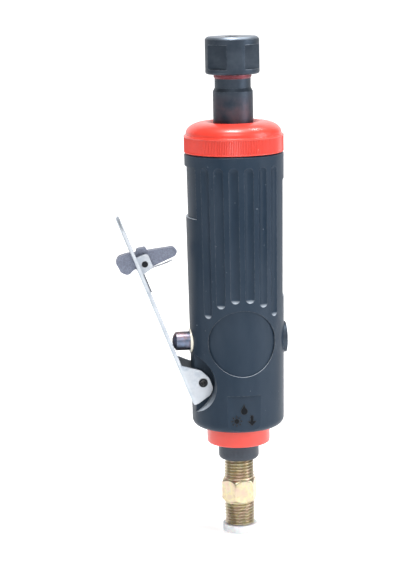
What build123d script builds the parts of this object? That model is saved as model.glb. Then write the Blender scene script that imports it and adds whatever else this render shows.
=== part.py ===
from build123d import *
import math
import os

# Straight pneumatic die grinder with a rear safety lever. Millimetres.
# Origin: centre of the collet nut's front face. +Z runs out of the collet, along the spindle.
# A "station" is a distance back from that face, so a station s lies at z = -s.
# The lever hangs on the -X side, the speed regulator on the +X side, the blank disc faces -Y.
# "Reach" is a distance out from the spindle axis towards the lever, along -X.
# A dimension that has to follow another one is written as that one and an offset.

# Named clearances
slip_gap = 0.05  # round pieces that seat in one another and are still made separately
run_gap = 0.06  # radial running fit of a shaft or pin that turns or slides
turn_gap = 0.25  # end faces of parts that turn past each other
cover_gap = 0.35  # covers and rims that only pass each other

# Collet nut
nut_radius = 12.0
nut_length = 16.3
nut_chamfer = 1.0
nut_flats_across = 21.6
nut_flats_front = 3.3
nut_flats_back = nut_length - 2.3
nut_mouth_radius = 5.6
nut_cone_depth = 3.2
nut_cone_radius = 7.0

# Collet
shank_bore_radius = 3.2
collet_face_station = 0.0
collet_length = 25.0
collet_head_radius = 6.5
collet_tail_radius = 4.6
collet_slit = 0.8
collet_slits = 3
collet_tail_ring = 4.5

# Spindle nose (collet body)
thread_radius = 8.0
thread_station = 5.5
nose_ring_radius = thread_radius + 0.4
nose_ring_length = 1.5
nose_ring_gap = 0.25
neck_radius = thread_radius
neck_end_station = nut_length + 6.0
spindle_radius = thread_radius + 0.87
spindle_shoulder_station = neck_end_station + 1.6
spindle_thread_length = 7.0
shaft_end_gap = 1.0

# Bearings: bore, outer and width of the front and rear ball bearings
front_bearing = dict(bore=5.0, outer=13.0, width=8.0, balls=7, ball=2.35)
rear_bearing = dict(bore=4.0, outer=11.0, width=7.0, balls=7, ball=1.98)
race_share = 0.30
ball_room = 0.06
cage_room = 0.12
cage_margin = 0.7

# Radii of the motor and what wraps round it
motor_bore_radius = 17.2
housing_radius = motor_bore_radius + 2.4
housing_rear_radius = housing_radius - 1.8
grip_front_radius = housing_radius + 2.5
grip_rear_radius = grip_front_radius - 1.38
outside = grip_front_radius + 3.0  # clear of the grip, where side cuts end
cap_thread_depth = 1.2

# Front cap
cap_crest_station = 37.2
cap_crest_radius = spindle_radius + 3.93
cap_hole_radius = spindle_radius + 0.73
cap_hole_chamfer = 2.2
cap_dome_radius = grip_front_radius - 1.5
cap_band_station = cap_crest_station + 6.0
cap_band_radius = grip_front_radius + 0.1
cap_end_station = cap_band_station + 7.4
cap_sleeve_wall = 2.3
cap_sleeve_station = cap_end_station + 7.4

# Motor stack
front_bearing_station = cap_crest_station + 11.8
front_boss_radius = front_bearing["outer"] + 2.6
end_plate_flange = 3.0
cylinder_station = front_bearing_station + front_bearing["width"] + 4.0
cylinder_length = 39.0
cylinder_bore_radius = motor_bore_radius - 3.0
cylinder_offset = 1.2
rotor_radius = cylinder_bore_radius - cylinder_offset - 0.2
rotor_end_gap = 0.2
vane_count = 5
vane_thickness = 1.5
vane_height = rotor_radius - 5.2
vane_sink = 0.3
vane_slot_floor = 0.4
vane_first_turn = 36.0
air_port_radius = 2.0
air_ports = 3
gasket_thickness = 0.5
locating_pin_radius = 1.0
pin_sink = 2.3
front_plate_station = front_bearing_station - 0.8
front_flange_station = cap_sleeve_station
front_web_station = front_bearing_station + front_bearing["width"]
rear_plate_station = cylinder_station + cylinder_length
gasket_station = rear_plate_station + end_plate_flange
ledge_station = gasket_station + gasket_thickness
rear_bearing_station = gasket_station + 0.2
rear_bearing_end_station = rear_bearing_station + rear_bearing["width"]
rear_boss_radius = rear_bearing["outer"] + 2.2
rear_chamber_radius = rear_boss_radius + 0.8
rear_chamber_station = rear_bearing_end_station + 2.8
housing_step_station = rear_chamber_station - 2.0
spindle_end_station = front_bearing_station
cylinder_radius = motor_bore_radius - slip_gap
cap_sleeve_radius = housing_radius - cap_thread_depth - slip_gap
hub_radius = front_bearing["bore"] + 1.2

# Stations of the valve, the lever and the rear end
valve_station = rear_chamber_station + 22.2
pivot_station = valve_station + 17.8
bushing_thread_station = valve_station + 23.3
housing_end_station = bushing_thread_station + 14.7
ring_end_station = housing_end_station + 9.3
bushing_end_station = ring_end_station + 8.0
hexagon_station = bushing_end_station + 9.3
hexagon_end_station = hexagon_station + 10.3
nipple_end_station = hexagon_end_station + 10.9

# Grip shell
grip_front_station = cap_end_station + cover_gap
grip_end_station = housing_end_station + 1.3
grip_end_round = 3.7
disc_station = valve_station - 1.5
disc_radius = 14.9
disc_depth = 0.7
flute_width = 4.5
flute_depth = 0.95
flute_cutter_radius = 3.1
flute_front_station = grip_front_station + 4.75
flute_pitch_degrees = 17.6
flutes_per_face = 6
flute_arc_radius = disc_radius + 3.5
panel_station = pivot_station + 4.2
panel_flat = grip_rear_radius - 1.27
tip_recess_front = grip_front_station + 5.25
tip_recess_back = tip_recess_front + 22.8
tip_recess_width = 22.6
tip_recess_depth = 0.9
blank_recess_front = grip_front_station + 11.85
blank_recess_back = disc_station - 18.3
blank_recess_width = 16.0
blank_recess_depth = 0.8

# Hose nipple and dust plug
pipe_radius = 6.85
nipple_bore_radius = pipe_radius - 2.45
hexagon_across = 2 * pipe_radius + 0.7
plug_flange_radius = pipe_radius + 0.95
plug_flange = 3.6
plug_shank = 9.0

# Inlet bushing, screen, O-ring
bushing_thread_radius = pipe_radius + 1.05
bushing_radius = bushing_thread_radius + 1.25
bushing_round = 2.0
bushing_bore_radius = nipple_bore_radius + 0.2
pipe_socket_station = bushing_end_station - 11.0
oring_groove_front = 2.5
oring_groove_width = 1.9
oring_groove_depth = 0.9
oring_wire = 0.44
screen_station = bushing_thread_station + 3.0
screen_length = 6.0
screen_wall = 0.5
screen_hole_radius = 0.6
screen_hole_pitch = 2.0

# Exhaust passages, ring and felt
exhaust_hole_radius = 2.8
exhaust_reach = bushing_thread_radius + exhaust_hole_radius + 1.3
exhaust_groove_radius = 3.0
exhaust_groove_station = cylinder_station + 7.0
ring_radius = bushing_thread_radius + 6.35
ring_wall = 1.0
ring_floor = 1.6
ring_holes = 12
ring_hole_radius = 1.0
felt_thickness = 3.5

# Throttle valve, across the body
button_radius = 4.25
button_dome = 1.7
throttle_bushing_radius = button_radius + 1.25
throttle_bushing_reach = grip_rear_radius + 0.78
throttle_bushing_lip = 1.5
throttle_thread_radius = button_radius + 0.75
throttle_thread_reach = throttle_bushing_reach - 12.9
button_tip_reach = throttle_bushing_reach + 7.8
button_seat_reach = throttle_thread_reach + 4.2
stem_radius = 1.5
seat_radius = stem_radius + 1.1
seat_reach = 5.0
disc_reach = seat_reach - 0.4
valve_disc_radius = seat_radius + 1.1
valve_disc = 1.6
valve_chamber_radius = valve_disc_radius + 1.3
valve_spring_wire = 0.5
inlet_way_radius = 4.2
feed_way_radius = 1.7
button_round = (button_radius**2 + button_dome**2) / (2 * button_dome)

# Speed regulator, on +X
regulator_spool_radius = valve_chamber_radius + 0.35
regulator_inner = 8.2
regulator_face = grip_front_radius
regulator_dial_radius = regulator_spool_radius + 1.65
regulator_dial = 3.4
regulator_slot = 1.4
regulator_slot_depth = 1.2
regulator_groove_back = regulator_inner + 4.8
regulator_groove_front = regulator_groove_back + 1.8
dial_back = -(regulator_face - regulator_dial - 0.2)  # floor of the counterbore for the dial, as a reach

# Throttle lever: u runs up along the plate from the pivot, v runs inwards to the body
pivot_reach = housing_rear_radius - 1.1
lever_angle = 21.0
sheet = 1.5
lever_inner_face = 6.0
lever_width = 17.2
lever_top = 82.7
lever_bottom = 8.0
lever_tip_round = 6.5
lever_bend = 2.2
lever_outer_face = lever_inner_face + sheet
pivot_pin_radius = 2.0
pivot_pin_bore = 1.1
near_ear_top = 11.2
far_ear_top = 12.8
pocket_reach = pivot_reach + 9.7
pocket_station = pivot_station + 0.4
pocket_web = lever_width - 2 * sheet - 1.6
ear_room = 0.5
pocket_lining = 1.3

# Lock lever, its bracket, pin and spring
lock_pin_up = 59.2
lock_pin_in = 3.5
lock_pin_radius = 1.35
lock_thickness = 3.6
lock_reach = 15.0
bracket_gap = lock_thickness + 3.0
bracket_sheet = 1.4
bracket_depth = 5.5
bracket_low = lock_pin_up - 4.0
bracket_high = lock_pin_up + 4.2
slot_width = bracket_gap - 0.4
slot_low = lock_pin_up - 2.4
slot_high = lock_pin_up + 15.3
lock_spring_radius = lock_pin_radius + 0.75
lock_spring_wire = 0.35


def grip_radius(station):
    """Outside radius of the tapered grip at a station."""
    share = (station - grip_front_station) / (grip_end_station - grip_front_station)
    return grip_front_radius + share * (grip_rear_radius - grip_front_radius)


def turned(*points):
    """Solid turned about the spindle axis from (radius, station) corners."""
    corners = [(radius, 0, -station) for radius, station in points]
    return revolve(make_face(Polyline(*corners, close=True)), Axis.Z)


def tube(outer, inner, front, back):
    """Ring about the spindle axis between two stations; inner 0 gives a disc."""
    return turned((inner, front), (outer, front), (outer, back), (inner, back))


def rod(radius, start, end):
    """Round rod between two points."""
    a, b = Vector(*start), Vector(*end)
    return Solid.make_cylinder(radius, (b - a).length, Plane(origin=a, z_dir=b - a))


def across(radius, near_reach, far_reach, station=valve_station):
    """Round rod along X at a station, between two reaches towards the lever."""
    return rod(radius, (-near_reach, 0, -station), (-far_reach, 0, -station))


def rims(part, radius, station):
    """Circular edges about the spindle axis with one radius at one station."""
    return [
        edge
        for edge in part.edges().filter_by(GeomType.CIRCLE)
        if abs(edge.radius - radius) < 1e-3
        and abs(edge.arc_center.Z + station) < 1e-3
        and math.hypot(edge.arc_center.X, edge.arc_center.Y) < 1e-3
    ]


def block(x, y, front, back):
    """Box from (low, high) pairs in x and y, between two stations."""
    size = (x[1] - x[0], y[1] - y[0], back - front)
    middle = ((x[0] + x[1]) / 2, (y[0] + y[1]) / 2, -(front + back) / 2)
    return Pos(*middle) * Box(*size)


# ---- collet, nut and spindle nose


def make_collet_nut():
    bore = thread_radius + run_gap
    cone_end = nut_cone_depth + 0.6
    nut = turned(
        (nut_mouth_radius, 0),
        (nut_radius, 0),
        (nut_radius, nut_length),
        (bore, nut_length),
        (bore, cone_end),
        (nut_cone_radius, cone_end),
        (nut_mouth_radius, 1.2),
    )
    nut = chamfer(rims(nut, nut_radius, 0), nut_chamfer)
    nut = fillet(rims(nut, nut_radius, nut_length), nut_chamfer)
    half = nut_flats_across / 2
    for quarter in range(4):
        flat = block((half, nut_radius + 1), (-nut_radius, nut_radius), nut_flats_front, nut_flats_back)
        nut -= Rot(0, 0, 45 + 90 * quarter) * flat
    return nut


def make_collet():
    end = collet_face_station + collet_length
    cone_start = collet_face_station + 0.9
    cone_end = nut_cone_depth + 0.4
    gap = cover_gap / 2
    collet = turned(
        (shank_bore_radius, collet_face_station),
        (nut_mouth_radius - gap, collet_face_station),
        (nut_mouth_radius - gap, cone_start),
        (collet_head_radius, cone_end),
        (collet_head_radius, cone_end + 2.4),
        (collet_tail_radius, end),
        (shank_bore_radius, end),
    )
    across_slit = (-collet_slit / 2, collet_slit / 2)
    slit = block((0, collet_head_radius + 1), across_slit, -1, end - collet_tail_ring)
    for index in range(collet_slits):
        collet -= Rot(0, 0, 90 + 360 / collet_slits * index) * slit
    return collet


def make_collet_body():
    """Spindle nose: external thread, tapered collet seat in front, rotor thread behind."""
    collet_end = collet_face_station + collet_length
    cone_end = nut_cone_depth + 0.4
    seat_front = collet_head_radius + run_gap
    seat_back = collet_tail_radius + run_gap
    ring_front = nut_length + nose_ring_gap
    ring_back = ring_front + nose_ring_length
    rotor_thread = front_bearing["bore"]
    shaft_station = collet_end + spindle_thread_length
    body = turned(
        (seat_front, thread_station),
        (thread_radius, thread_station),
        (thread_radius, ring_front),
        (nose_ring_radius, ring_front),
        (nose_ring_radius, ring_back - 0.4),
        (neck_radius, ring_back),
        (neck_radius, neck_end_station),
        (spindle_radius, spindle_shoulder_station),
        (spindle_radius, spindle_end_station - 2.2),
        (rotor_thread + 2.2, spindle_end_station - 2.2),
        (rotor_thread + 2.2, spindle_end_station),
        (rotor_thread + slip_gap, spindle_end_station),
        (rotor_thread + slip_gap, shaft_station),
        (shank_bore_radius + 0.3, shaft_station - 1.5),
        (shank_bore_radius + 0.3, collet_end + 0.5),
        (seat_back, collet_end + 0.5),
        (seat_back, collet_end),
        (seat_front, cone_end + 2.4),
    )
    return body


# ---- front cap and grip


def make_front_cap():
    hole, top = cap_hole_radius, cap_crest_station
    inner = front_boss_radius + 0.4
    under = front_plate_station - 0.7
    outline = [
        Line((hole, 0, -(top + cap_hole_chamfer + 0.6)), (hole, 0, -(top + 1.4))),
        Line((hole, 0, -(top + 1.4)), (hole + cap_hole_chamfer, 0, -(top + 0.15))),
        Line((hole + cap_hole_chamfer, 0, -(top + 0.15)), (cap_crest_radius, 0, -top)),
        Spline(
            (cap_crest_radius, 0, -top),
            (cap_dome_radius - 1.5, 0, -(top + 1.55)),
            (cap_dome_radius + 0.75, 0, -(cap_band_station - 1.0)),
            tangents=[(1, 0, -0.02), (0.15, 0, -1)],
        ),
        Polyline(
            (cap_dome_radius + 0.75, 0, -(cap_band_station - 1.0)),
            (cap_dome_radius + 0.75, 0, -(cap_band_station - 0.3)),
            (cap_band_radius, 0, -cap_band_station),
            (cap_band_radius, 0, -cap_end_station),
            (cap_sleeve_radius, 0, -cap_end_station),
            (cap_sleeve_radius, 0, -cap_sleeve_station),
            (cap_sleeve_radius - cap_sleeve_wall, 0, -cap_sleeve_station),
            (inner, 0, -(cap_sleeve_station - 1.0)),
            (inner, 0, -under),
            (hole + 1.6, 0, -under),
            (hole + 1.6, 0, -(top + cap_hole_chamfer + 0.6)),
            (hole, 0, -(top + cap_hole_chamfer + 0.6)),
        ),
    ]
    edges = [edge for piece in outline for edge in piece.edges()]
    cap = revolve(make_face(edges), Axis.Z)
    return chamfer(rims(cap, cap_band_radius, cap_end_station), 0.4)


def valley_cutter(width, front, back, depth, side):
    """Cutter for a shallow recess that follows the taper, on side +1 (+X) or -1 (-X)."""
    ring = turned(
        (grip_radius(front) - depth, front),
        (outside, front),
        (outside, back),
        (grip_radius(back) - depth, back),
    )
    x = (0, outside) if side > 0 else (-outside, 0)
    return ring & block(x, (-width / 2, width / 2), front, back)


def flute_cutter(degrees, face):
    """Round-bottomed flute with round ends; degrees is measured from the face's middle."""
    offset = grip_radius(disc_station) * math.sin(math.radians(degrees))
    rise = math.sqrt(flute_arc_radius**2 - offset**2) if abs(offset) < flute_arc_radius else 0
    end_round = flute_width / 2
    front = flute_front_station + end_round
    back = disc_station - rise - end_round
    bearing = math.radians((270 if face < 0 else 90) + degrees)
    points = []
    for station in (front, back):
        out = grip_radius(station) + flute_cutter_radius - flute_depth
        points.append(Vector(out * math.cos(bearing), out * math.sin(bearing), -station))
    cutter = rod(flute_cutter_radius, tuple(points[0]), tuple(points[1]))
    for point in points:
        cutter += Pos(point) * Sphere(flute_cutter_radius)
    return cutter


def lever_place(u, v, b=0.0):
    """Point in the throttle lever's own directions: along the plate, inwards, across."""
    slope = math.radians(lever_angle)
    reach = pivot_reach + u * math.sin(slope) - v * math.cos(slope)
    station = pivot_station - u * math.cos(slope) - v * math.sin(slope)
    return (-reach, b, -station)


def lever_plane(b=0.0):
    """Plane whose local x is u and local y is v, facing +Y, at a place b across the lever."""
    slope = math.radians(lever_angle)
    along = (-math.sin(slope), 0, math.cos(slope))
    return Plane(origin=(-pivot_reach, b, -pivot_station), x_dir=along, z_dir=(0, 1, 0))


def rounded(points, radii):
    """Face with corners rounded one by one; a radius of 0 leaves a corner sharp."""
    face = make_face(Polyline(*points, close=True))
    for (x, y), radius in zip(points, radii):
        if radius:
            corner = [v for v in face.vertices() if math.hypot(v.X - x, v.Y - y) < 1e-4]
            face = fillet(corner, radius)
    return face


def ear_outline(top):
    """Outline of one folded ear, in the lever's directions."""
    outer = lever_outer_face
    points = [
        (-lever_bottom, -outer),
        (top, -outer),
        (top - 0.6, -lever_inner_face + 0.4),
        (5.6, 1.2),
        (1.0, 3.3),
        (-4.2, 3.2),
        (-6.5, 0.8),
        (-lever_bottom, -lever_inner_face + 0.5),
    ]
    return rounded(points, [0, 0, 3.5, 3.0, 2.5, 2.5, 2.5, 0])


def ear(top, b):
    """One folded ear of the lever, starting at a place b across it."""
    return extrude(lever_plane(b) * ear_outline(top), sheet, dir=(0, 1, 0))


def pocket_radius():
    """Radius of the side pockets: just clear of the ears as they lie at rest."""
    corners = [lever_place(corner.X, corner.Y) for corner in ear_outline(near_ear_top).vertices()]
    inner = [c for c in corners if -c[0] < pivot_reach]
    return ear_room + max(math.hypot(-c[0] - pocket_reach, -c[2] - pocket_station) for c in inner)


def ear_pockets(radius, web, reach):
    """Side pockets for the lever's ears, open sideways, either side of a middle web."""
    pockets = []
    for side in (-1, 1):
        start = (-pocket_reach, side * web / 2, -pocket_station)
        end = (-pocket_reach, side * reach, -pocket_station)
        pockets.append(rod(radius, start, end))
    return pockets


def lever_relief():
    """Room behind the lower end of the lever plate, where it dips into the body."""
    room = 0.45
    low, high = -lever_bottom - room, -2.0
    depth = lever_inner_face - room
    face = make_face(Polyline((low, -depth), (high, -depth), (high, -14), (low, -14), close=True))
    half = lever_width / 2 + 1.0
    return extrude(lever_plane(-half) * face, 2 * half, dir=(0, 1, 0))


def housing_envelope(gap):
    """Outside of the motor housing, grown by a gap."""
    body = turned(
        (0, grip_front_station + cover_gap - gap),
        (housing_radius + gap, grip_front_station + cover_gap - gap),
        (housing_radius + gap, housing_step_station + gap),
        (housing_rear_radius + gap, housing_step_station + gap + 1.8),
        (housing_rear_radius + gap, housing_end_station + gap),
        (0, housing_end_station + gap),
    )
    radius = pocket_radius() + pocket_lining - gap
    web = pocket_web - 2 * pocket_lining + 2 * gap
    for pocket in ear_pockets(radius, web, outside):
        body -= pocket
    return body


def make_grip_shell():
    front, back = grip_front_station, grip_end_station
    shell = turned((0, front), (grip_front_radius, front), (grip_rear_radius, back), (0, back))
    shell = fillet(rims(shell, grip_rear_radius, back), grip_end_round)
    shell = chamfer(rims(shell, grip_front_radius, front), 0.5)
    for face in (-1, 1):
        inner, outer = face * grip_rear_radius * 0.7, face * outside
        disc = rod(disc_radius, (0, inner, -disc_station), (0, outer, -disc_station))
        core_front, core_back = disc_station - disc_radius - 2, disc_station + disc_radius + 2
        core = turned(
            (0, core_front),
            (grip_radius(core_front) - disc_depth, core_front),
            (grip_radius(core_back) - disc_depth, core_back),
            (0, core_back),
        )
        shell -= disc - core
        for index in range(flutes_per_face):
            degrees = (index - (flutes_per_face - 1) / 2) * flute_pitch_degrees
            shell -= flute_cutter(degrees, face)
    panel_half = math.sqrt(grip_front_radius**2 - panel_flat**2)
    shell -= block((-panel_half, panel_half), (-outside, -panel_flat), panel_station, back + 1)
    shell -= valley_cutter(tip_recess_width, tip_recess_front, tip_recess_back, tip_recess_depth, -1)
    shell -= valley_cutter(blank_recess_width, blank_recess_front, blank_recess_back, blank_recess_depth, 1)
    for pocket in ear_pockets(pocket_radius(), pocket_web, outside):
        shell -= pocket
    shell -= lever_relief()
    shell -= housing_envelope(slip_gap)
    shell -= tube(housing_radius + slip_gap, 0, front - 1, front + 1)
    shell -= tube(ring_radius + slip_gap, 0, housing_end_station - 1, back + 1)
    shell -= across(throttle_bushing_radius + slip_gap, 10, outside)
    shell -= across(regulator_dial_radius + cover_gap, dial_back, -outside)
    shell -= across(regulator_spool_radius + slip_gap, -10, -outside)
    shell -= rod(
        pivot_pin_radius + run_gap,
        (-pivot_reach, -pocket_web, -pivot_station),
        (-pivot_reach, pocket_web, -pivot_station),
    )
    return shell


def make_motor_housing():
    housing = housing_envelope(0)
    front = grip_front_station + cover_gap
    housing -= tube(housing_radius - cap_thread_depth, 0, front - 1, cap_sleeve_station)
    housing -= tube(motor_bore_radius, 0, front - 1, ledge_station)
    housing -= tube(rear_chamber_radius, 0, front - 1, rear_chamber_station)
    housing -= across(throttle_thread_radius + slip_gap, throttle_thread_reach, outside)
    housing -= across(seat_radius, 0, throttle_thread_reach + 1)
    housing -= across(valve_chamber_radius, -regulator_inner, seat_reach)
    housing -= across(regulator_spool_radius + slip_gap, -outside, -regulator_inner)
    housing -= across(regulator_dial_radius + cover_gap, -outside, dial_back)
    housing -= rod(inlet_way_radius, (0, 0, -valve_station), (0, 0, -(bushing_thread_station + 1)))
    feed_x = -(seat_reach + throttle_thread_reach) / 2
    chamber = rear_chamber_station - 1
    housing -= rod(feed_way_radius, (feed_x, 0, -chamber), (feed_x, 0, -valve_station))
    bushing_bore = bushing_thread_radius + slip_gap
    housing -= tube(bushing_bore, 0, bushing_thread_station - 0.6, housing_end_station + 1)
    for side in (-1, 1):
        y = side * exhaust_reach
        housing -= rod(exhaust_hole_radius, (0, y, -chamber), (0, y, -housing_end_station - 1))
        groove = side * (motor_bore_radius - exhaust_groove_radius / 2)
        front, back = exhaust_groove_station, rear_chamber_station
        housing -= rod(exhaust_groove_radius, (0, groove, -front), (0, groove, -back))
    housing -= rod(
        pivot_pin_radius + run_gap,
        (-pivot_reach, -pocket_web, -pivot_station),
        (-pivot_reach, pocket_web, -pivot_station),
    )
    return housing


# ---- bearings


def race_width(sizes):
    """Radial thickness of each ring of a ball bearing."""
    return (sizes["outer"] - sizes["bore"]) * race_share


def pitch_radius(sizes):
    return (sizes["outer"] + sizes["bore"]) / 2


def ball_groove(sizes, front):
    """Ring-shaped groove that the balls run in."""
    middle = front + sizes["width"] / 2
    return Pos(0, 0, -middle) * Torus(pitch_radius(sizes), sizes["ball"] + ball_room)


def make_outer_race(sizes, front):
    inner = sizes["outer"] - race_width(sizes)
    return tube(sizes["outer"], inner, front, front + sizes["width"]) - ball_groove(sizes, front)


def make_inner_race(sizes, front):
    outer = sizes["bore"] + race_width(sizes)
    return tube(outer, sizes["bore"], front, front + sizes["width"]) - ball_groove(sizes, front)


def make_balls(sizes, front):
    """Balls and the cage ring that spaces them, as separate solids."""
    middle = front + sizes["width"] / 2
    room = sizes["outer"] - sizes["bore"] - 2 * race_width(sizes)
    mean = pitch_radius(sizes)
    half = sizes["ball"] + cage_margin
    cage = tube(mean + room * 0.32, mean - room * 0.32, middle - half, middle + half)
    balls = []
    for index in range(sizes["balls"]):
        angle = 2 * math.pi * (index + 0.5) / sizes["balls"]
        x, y = math.cos(angle), math.sin(angle)
        near, far = mean * 0.7, mean * 1.3
        start, end = (near * x, near * y, -middle), (far * x, far * y, -middle)
        cage -= rod(sizes["ball"] + cage_room, start, end)
        balls.append(Pos(mean * x, mean * y, -middle) * Sphere(sizes["ball"]))
    return Compound(children=[*cage.solids(), *[ball.solids()[0] for ball in balls]])


# ---- air motor


def pin_place():
    """Middle of the thick side of the cylinder wall, where the locating pins go."""
    return (cylinder_bore_radius - cylinder_offset + cylinder_radius) / 2


def pin_hole(front, back, gap=slip_gap):
    x = pin_place()
    return rod(locating_pin_radius + gap, (x, 0, -front), (x, 0, -back))


def make_front_plate():
    bearing_radius = front_bearing["outer"] + slip_gap
    bore = hub_radius + turn_gap
    plate = turned(
        (bearing_radius, front_plate_station),
        (front_boss_radius, front_plate_station),
        (front_boss_radius, front_flange_station),
        (cylinder_radius, front_flange_station),
        (cylinder_radius, cylinder_station),
        (bore, cylinder_station),
        (bore, front_web_station),
        (bearing_radius, front_web_station),
    )
    return plate - pin_hole(cylinder_station - pin_sink - 0.2, cylinder_station + 1)


def make_rear_plate():
    bearing_radius = rear_bearing["outer"] + slip_gap
    bore = rear_bearing["bore"] + 1.0
    back = rear_bearing_end_station
    plate = turned(
        (bore, rear_plate_station),
        (cylinder_radius, rear_plate_station),
        (cylinder_radius, gasket_station),
        (rear_boss_radius, gasket_station),
        (rear_boss_radius, back),
        (bearing_radius, back),
        (bearing_radius, rear_bearing_station),
        (bore, rear_bearing_station),
    )
    return plate - pin_hole(rear_plate_station - 1, rear_plate_station + pin_sink + 0.2)


def make_cylinder():
    cylinder = tube(cylinder_radius, 0, cylinder_station, rear_plate_station)
    bore = rod(
        cylinder_bore_radius,
        (-cylinder_offset, 0, -(cylinder_station - 1)),
        (-cylinder_offset, 0, -(rear_plate_station + 1)),
    )
    cylinder -= bore
    cylinder -= pin_hole(cylinder_station - 1, rear_plate_station + 1)
    port_pitch = cylinder_length / (air_ports + 1)
    for index in range(air_ports):
        station = cylinder_station + port_pitch * (index + 1)
        ends = [(-cylinder_offset, side * (cylinder_radius + 5), -station) for side in (-1, 1)]
        cylinder -= rod(air_port_radius, *ends)
    return cylinder


def vane_box(thickness, low, high, front, back):
    """Radial plate between two radii, standing on the +X side."""
    return block((low, high), (-thickness / 2, thickness / 2), front, back)


def vane_turns():
    """Turn of each vane about the rotor's axis."""
    return [Rot(0, 0, vane_first_turn + 360 / vane_count * index) for index in range(vane_count)]


def make_rotor():
    front = cylinder_station + rotor_end_gap
    back = rear_plate_station - rotor_end_gap
    shaft, tail = front_bearing["bore"], rear_bearing["bore"]
    tail_end = rear_bearing_end_station + 2.4
    shaft_front = collet_face_station + collet_length + spindle_thread_length + shaft_end_gap
    rotor = turned(
        (0, shaft_front),
        (shaft, shaft_front),
        (shaft, front_web_station),
        (hub_radius, front_web_station),
        (hub_radius, front),
        (rotor_radius, front),
        (rotor_radius, back),
        (tail + 0.8, back),
        (tail + 0.8, rear_bearing_station),
        (tail, rear_bearing_station),
        (tail, tail_end),
        (0, tail_end),
    )
    floor = rotor_radius - vane_sink - vane_height - vane_slot_floor
    for turn in vane_turns():
        slot = vane_box(vane_thickness + 2 * slip_gap, floor, rotor_radius + 1, front - 1, back + 1)
        rotor -= turn * slot
    groove_front = tail_end - 1.6
    return rotor - tube(tail + 1, tail - 0.5, groove_front, groove_front + 0.9)


def make_vanes():
    front = cylinder_station + rotor_end_gap
    back = rear_plate_station - rotor_end_gap
    top = rotor_radius - vane_sink
    blade = vane_box(vane_thickness, top - vane_height, top, front, back)
    return Compound(children=[(turn * blade).solids()[0] for turn in vane_turns()])


def make_rear_gasket():
    return tube(cylinder_radius, rear_chamber_radius + 0.3, gasket_station, ledge_station)


def make_rear_retaining_ring():
    tail = rear_bearing["bore"]
    front = rear_bearing_end_station + 0.85
    ring = tube(tail + 1.8, tail - 0.45, front, front + 0.8)
    return ring - block((0, tail + 3), (-1.2, 1.2), front - 1, front + 2)


def make_locating_pin():
    return pin_hole(cylinder_station - pin_sink, rear_plate_station + pin_sink, 0)


# ---- exhaust end and air inlet


def make_exhaust_ring():
    inner = ring_radius - ring_wall
    floor = ring_end_station - ring_floor
    hole = bushing_thread_radius + slip_gap
    ring = turned(
        (inner, housing_end_station),
        (ring_radius, housing_end_station),
        (ring_radius, ring_end_station),
        (hole, ring_end_station),
        (hole, floor),
        (inner, floor),
    )
    ring = fillet(rims(ring, ring_radius, ring_end_station), 0.9)
    middle = (hole + inner) / 2
    for index in range(ring_holes):
        angle = 2 * math.pi * (index + 0.5) / ring_holes
        x, y = middle * math.cos(angle), middle * math.sin(angle)
        ring -= rod(ring_hole_radius, (x, y, -floor + 1), (x, y, -ring_end_station - 1))
    return ring


def make_muffler_felt():
    back = ring_end_station - ring_floor
    inner = bushing_thread_radius + slip_gap
    return tube(ring_radius - ring_wall - slip_gap, inner, back - felt_thickness, back)


def make_inlet_bushing():
    bushing = turned(
        (bushing_bore_radius, bushing_thread_station),
        (bushing_thread_radius, bushing_thread_station),
        (bushing_thread_radius, ring_end_station),
        (bushing_radius, ring_end_station),
        (bushing_radius, bushing_end_station),
        (pipe_radius + slip_gap, bushing_end_station),
        (pipe_radius + slip_gap, pipe_socket_station),
        (bushing_bore_radius, pipe_socket_station),
    )
    bushing = fillet(rims(bushing, bushing_radius, bushing_end_station), bushing_round)
    groove = bushing_thread_station + oring_groove_front
    floor = bushing_thread_radius - oring_groove_depth
    return bushing - tube(bushing_thread_radius + 1, floor, groove, groove + oring_groove_width)


def make_inlet_oring():
    station = bushing_thread_station + oring_groove_front + oring_groove_width / 2
    return Pos(0, 0, -station) * Torus(bushing_thread_radius - oring_wire + 0.02, oring_wire)


def make_inlet_screen():
    """Perforated cup that catches dirt in the inlet bore."""
    outer = bushing_bore_radius - slip_gap
    back = screen_station + screen_length
    cup = tube(outer, outer - screen_wall, screen_station, back) + tube(outer, 0, back - screen_wall, back)
    for column in range(-1, 2):
        for row in range(-1, 2):
            x, y = column * screen_hole_pitch, row * screen_hole_pitch
            cup -= rod(screen_hole_radius, (x, y, -back + 2), (x, y, -back - 1))
    return cup


def make_hose_nipple():
    upper = tube(pipe_radius, nipple_bore_radius, pipe_socket_station + 1, hexagon_station)
    hexagon = Pos(0, 0, -hexagon_end_station) * extrude(
        RegularPolygon(hexagon_across / 2, 6, major_radius=False, rotation=10),
        hexagon_end_station - hexagon_station,
    )
    corner = hexagon_across / math.sqrt(3)
    rounding = turned(
        (0, hexagon_station),
        (corner - 0.9, hexagon_station),
        (corner, hexagon_station + 0.8),
        (corner, hexagon_end_station - 0.8),
        (corner - 0.9, hexagon_end_station),
        (0, hexagon_end_station),
    )
    hexagon &= rounding
    hexagon -= tube(nipple_bore_radius, 0, hexagon_station - 1, hexagon_end_station + 1)
    lower = tube(pipe_radius, nipple_bore_radius, hexagon_end_station, nipple_end_station)
    return upper + hexagon + chamfer(rims(lower, pipe_radius, nipple_end_station), 0.5)


def make_dust_plug():
    end = nipple_end_station + plug_flange
    radius = nipple_bore_radius - run_gap
    plug = turned(
        (0, nipple_end_station - plug_shank),
        (radius - 0.8, nipple_end_station - plug_shank),
        (radius, nipple_end_station - plug_shank + 1.2),
        (radius, nipple_end_station),
        (plug_flange_radius, nipple_end_station),
        (plug_flange_radius, end),
        (0, end),
    )
    return fillet(rims(plug, plug_flange_radius, end), 0.9)


# ---- throttle valve and speed regulator


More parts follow.
